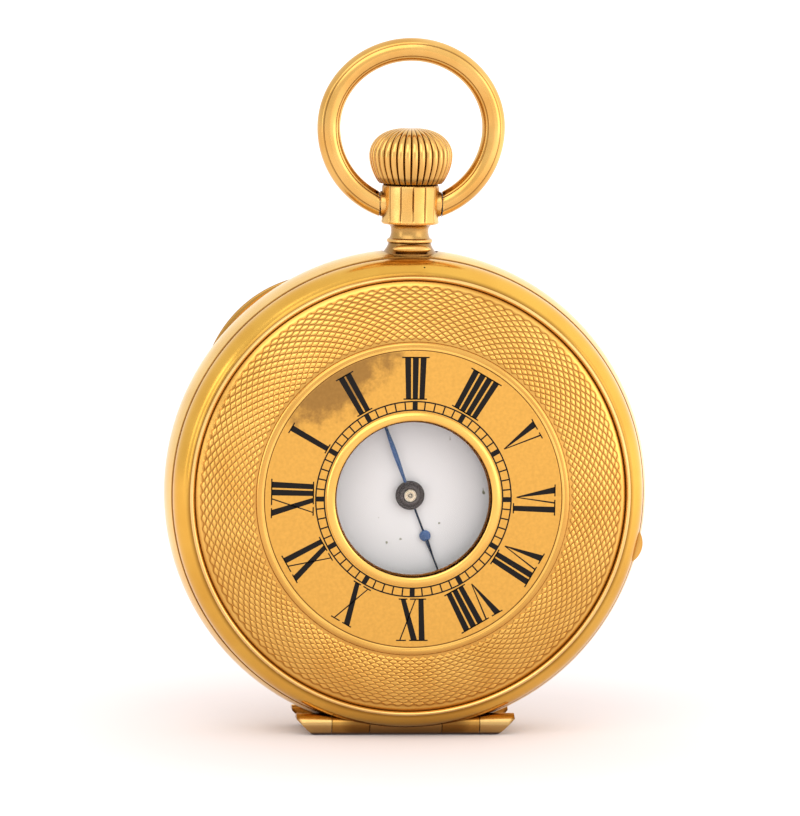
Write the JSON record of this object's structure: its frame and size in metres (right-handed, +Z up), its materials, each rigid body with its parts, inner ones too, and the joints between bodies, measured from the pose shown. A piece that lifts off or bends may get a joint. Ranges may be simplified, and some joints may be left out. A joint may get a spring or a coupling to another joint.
{
  "type": "half-hunter pocket watch",
  "caption": "Half-hunter pocket watch with a glazed front lid, a hinged back lid, an inner dust cover, a ribbed crown and a bow, and a jewelled lever movement inside.",
  "frame": {"origin": "on the ground under the case centre, midway between the front and the back faces", "axes": "+Z up towards the crown and bow, -Y out of the dial, +X to the right of a viewer who faces the dial"},
  "size_m": [0.05, 0.0162, 0.0717],
  "materials": {
    "case_gold": "polished yellow gold, engine turned on the lids",
    "watch_glass": "clear polished glass",
    "gilt_plate": "fine frosted gilding",
    "train_brass": "circular grained brass",
    "blued_steel": "heat blued and polished",
    "dial_enamel": "glossy fired white enamel",
    "ruby": "polished ruby",
    "polished_steel": "fine grained steel"
  },
  "bodies": {
    "case": {"case_middle": "case_gold", "pendant": "case_gold", "pendant_sleeve": "polished_steel", "front_hinge_pin": "polished_steel", "back_hinge_pin": "polished_steel", "lift_spring": "polished_steel", "lock_spring": "polished_steel", "inner_bezel": "case_gold", "dial_crystal": "watch_glass", "case_screws": "blued_steel", "dial": "dial_enamel", "main_plate": "gilt_plate", "barrel_bridge": "gilt_plate", "train_bridge": "gilt_plate", "balance_cock": "gilt_plate", "escapement_bridge": "gilt_plate", "bridge_screws": "blued_steel", "bearing_jewels": "ruby", "crown_wheel_screw": "blued_steel", "click_screw": "blued_steel", "click_spring": "polished_steel", "hairspring": "blued_steel"},
    "front_lid": {"front_cover": "case_gold", "window_rim": "case_gold", "window_crystal": "watch_glass"},
    "back_lid": {"back_cover": "case_gold"},
    "dust_cover": {"cuvette": "case_gold"},
    "bow": {"bow": "case_gold"},
    "winding_pinion": {"winding_pinion": "polished_steel"},
    "crown": {"crown": "case_gold", "winding_stem": "polished_steel"},
    "crown_wheel": {"crown_wheel": "polished_steel"},
    "ratchet": {"ratchet_wheel": "polished_steel", "barrel_arbor": "polished_steel", "ratchet_screw": "blued_steel"},
    "click": {"click": "polished_steel"},
    "barrel": {"mainspring_barrel": "gilt_plate", "barrel_lid": "gilt_plate", "mainspring": "polished_steel"},
    "center_wheel": {"center_wheel": "train_brass"},
    "third_wheel": {"third_wheel": "train_brass"},
    "fourth_wheel": {"fourth_wheel": "train_brass"},
    "escape_wheel": {"escape_wheel": "polished_steel"},
    "pallet_fork": {"pallet_fork": "polished_steel"},
    "balance": {"balance_wheel": "train_brass", "balance_staff": "polished_steel"},
    "regulator": {"regulator": "polished_steel"},
    "minute": {"cannon_pinion": "polished_steel", "minute_hand": "blued_steel"},
    "minute_wheel": {"minute_wheel": "train_brass"},
    "hour": {"hour_wheel": "train_brass", "hour_hand": "blued_steel"}
  },
  "joints": [
    {"name": "front_lid_hinge", "type": "hinge", "parent": "case", "child": "front_lid", "pos_m": [0, -0.0029, 0.0011], "axis": [1, 0, 0], "range_deg": [0, 80]},
    {"name": "back_lid_hinge", "type": "hinge", "parent": "case", "child": "back_lid", "pos_m": [0, 0.0029, 0.0011], "axis": [-1, 0, 0], "range_deg": [0, 80]},
    {"name": "dust_cover_hinge", "type": "hinge", "parent": "case", "child": "dust_cover", "pos_m": [0, 0.0029, 0.0011], "axis": [-1, 0, 0], "range_deg": [0, 54.6]},
    {"name": "bow_pivot", "type": "hinge", "parent": "case", "child": "bow", "pos_m": [0, 0, 0.05465], "axis": [1, 0, 0], "range_deg": [-110, 110]},
    {"name": "crown_turn", "type": "hinge", "parent": "case", "child": "winding_pinion", "pos_m": [0, 0, 0.043], "axis": [0, 0, 1], "continuous": true},
    {"name": "crown_push", "type": "slide", "parent": "winding_pinion", "child": "crown", "axis": [0, 0, -1], "range_m": [0, 0.0005], "stiffness_N_per_m": 400},
    {"name": "crown_wheel_turn", "type": "hinge", "parent": "case", "child": "crown_wheel", "pos_m": [0, 0.0022, 0.03712], "axis": [0, -1, 0], "continuous": true},
    {"name": "ratchet_turn", "type": "hinge", "parent": "case", "child": "ratchet", "pos_m": [0.00617, 0.0022, 0.03235], "axis": [0, -1, 0], "continuous": true},
    {"name": "click_tilt", "type": "hinge", "parent": "case", "child": "click", "pos_m": [0.01143, 0.0022, 0.03427], "axis": [0, 1, 0], "range_deg": [0, 8]},
    {"name": "hand_setting_turn", "type": "hinge", "parent": "case", "child": "minute", "pos_m": [0, -0.0042, 0.025], "axis": [0, -1, 0], "continuous": true},
    {"name": "minute_wheel_turn", "type": "hinge", "parent": "case", "child": "minute_wheel", "pos_m": [-0.00402, -0.0024, 0.02429], "axis": [0, -1, 0], "continuous": true},
    {"name": "hour_turn", "type": "hinge", "parent": "case", "child": "hour", "pos_m": [0, -0.0037, 0.025], "axis": [0, -1, 0], "continuous": true},
    {"name": "fourth_wheel_turn", "type": "hinge", "parent": "case", "child": "fourth_wheel", "pos_m": [-0.00379, 0.001, 0.01738], "axis": [0, -1, 0], "continuous": true},
    {"name": "escape_wheel_turn", "type": "hinge", "parent": "case", "child": "escape_wheel", "pos_m": [0.00149, 0.0002, 0.01738], "axis": [0, -1, 0], "continuous": true},
    {"name": "third_wheel_turn", "type": "hinge", "parent": "case", "child": "third_wheel", "pos_m": [-0.00677, 0.0004, 0.02254], "axis": [0, -1, 0], "continuous": true},
    {"name": "center_wheel_turn", "type": "hinge", "parent": "case", "child": "center_wheel", "pos_m": [0, 0.0015, 0.025], "axis": [0, -1, 0], "continuous": true},
    {"name": "barrel_turn", "type": "hinge", "parent": "case", "child": "barrel", "pos_m": [0.00617, 0.0003, 0.03235], "axis": [0, -1, 0], "continuous": true},
    {"name": "pallet_fork_swing", "type": "hinge", "parent": "case", "child": "pallet_fork", "pos_m": [0.00442, 0.0004, 0.01675], "axis": [0, -1, 0], "range_deg": [-5, 5]},
    {"name": "balance_swing", "type": "hinge", "parent": "case", "child": "balance", "pos_m": [0.0074, 0.0024, 0.0161], "axis": [0, -1, 0], "range_deg": [-270, 270]},
    {"name": "regulator_turn", "type": "hinge", "parent": "case", "child": "regulator", "pos_m": [0.0074, 0.0037, 0.0161], "axis": [0, -1, 0], "range_deg": [-15, 15]}
  ],
  "couplings": [
    {"joint": "dust_cover_hinge", "follows": "back_lid_hinge", "ratio": 0.68182},
    {"joint": "crown_wheel_turn", "follows": "crown_turn", "ratio": 0.55263},
    {"joint": "ratchet_turn", "follows": "crown_turn", "ratio": -0.525},
    {"joint": "minute_wheel_turn", "follows": "hand_setting_turn", "ratio": -0.33333},
    {"joint": "hour_turn", "follows": "hand_setting_turn", "ratio": 0.083333},
    {"joint": "escape_wheel_turn", "follows": "fourth_wheel_turn", "ratio": -10},
    {"joint": "third_wheel_turn", "follows": "fourth_wheel_turn", "ratio": -0.13333},
    {"joint": "center_wheel_turn", "follows": "fourth_wheel_turn", "ratio": 0.016667},
    {"joint": "barrel_turn", "follows": "fourth_wheel_turn", "ratio": -0.002381}
  ]
}
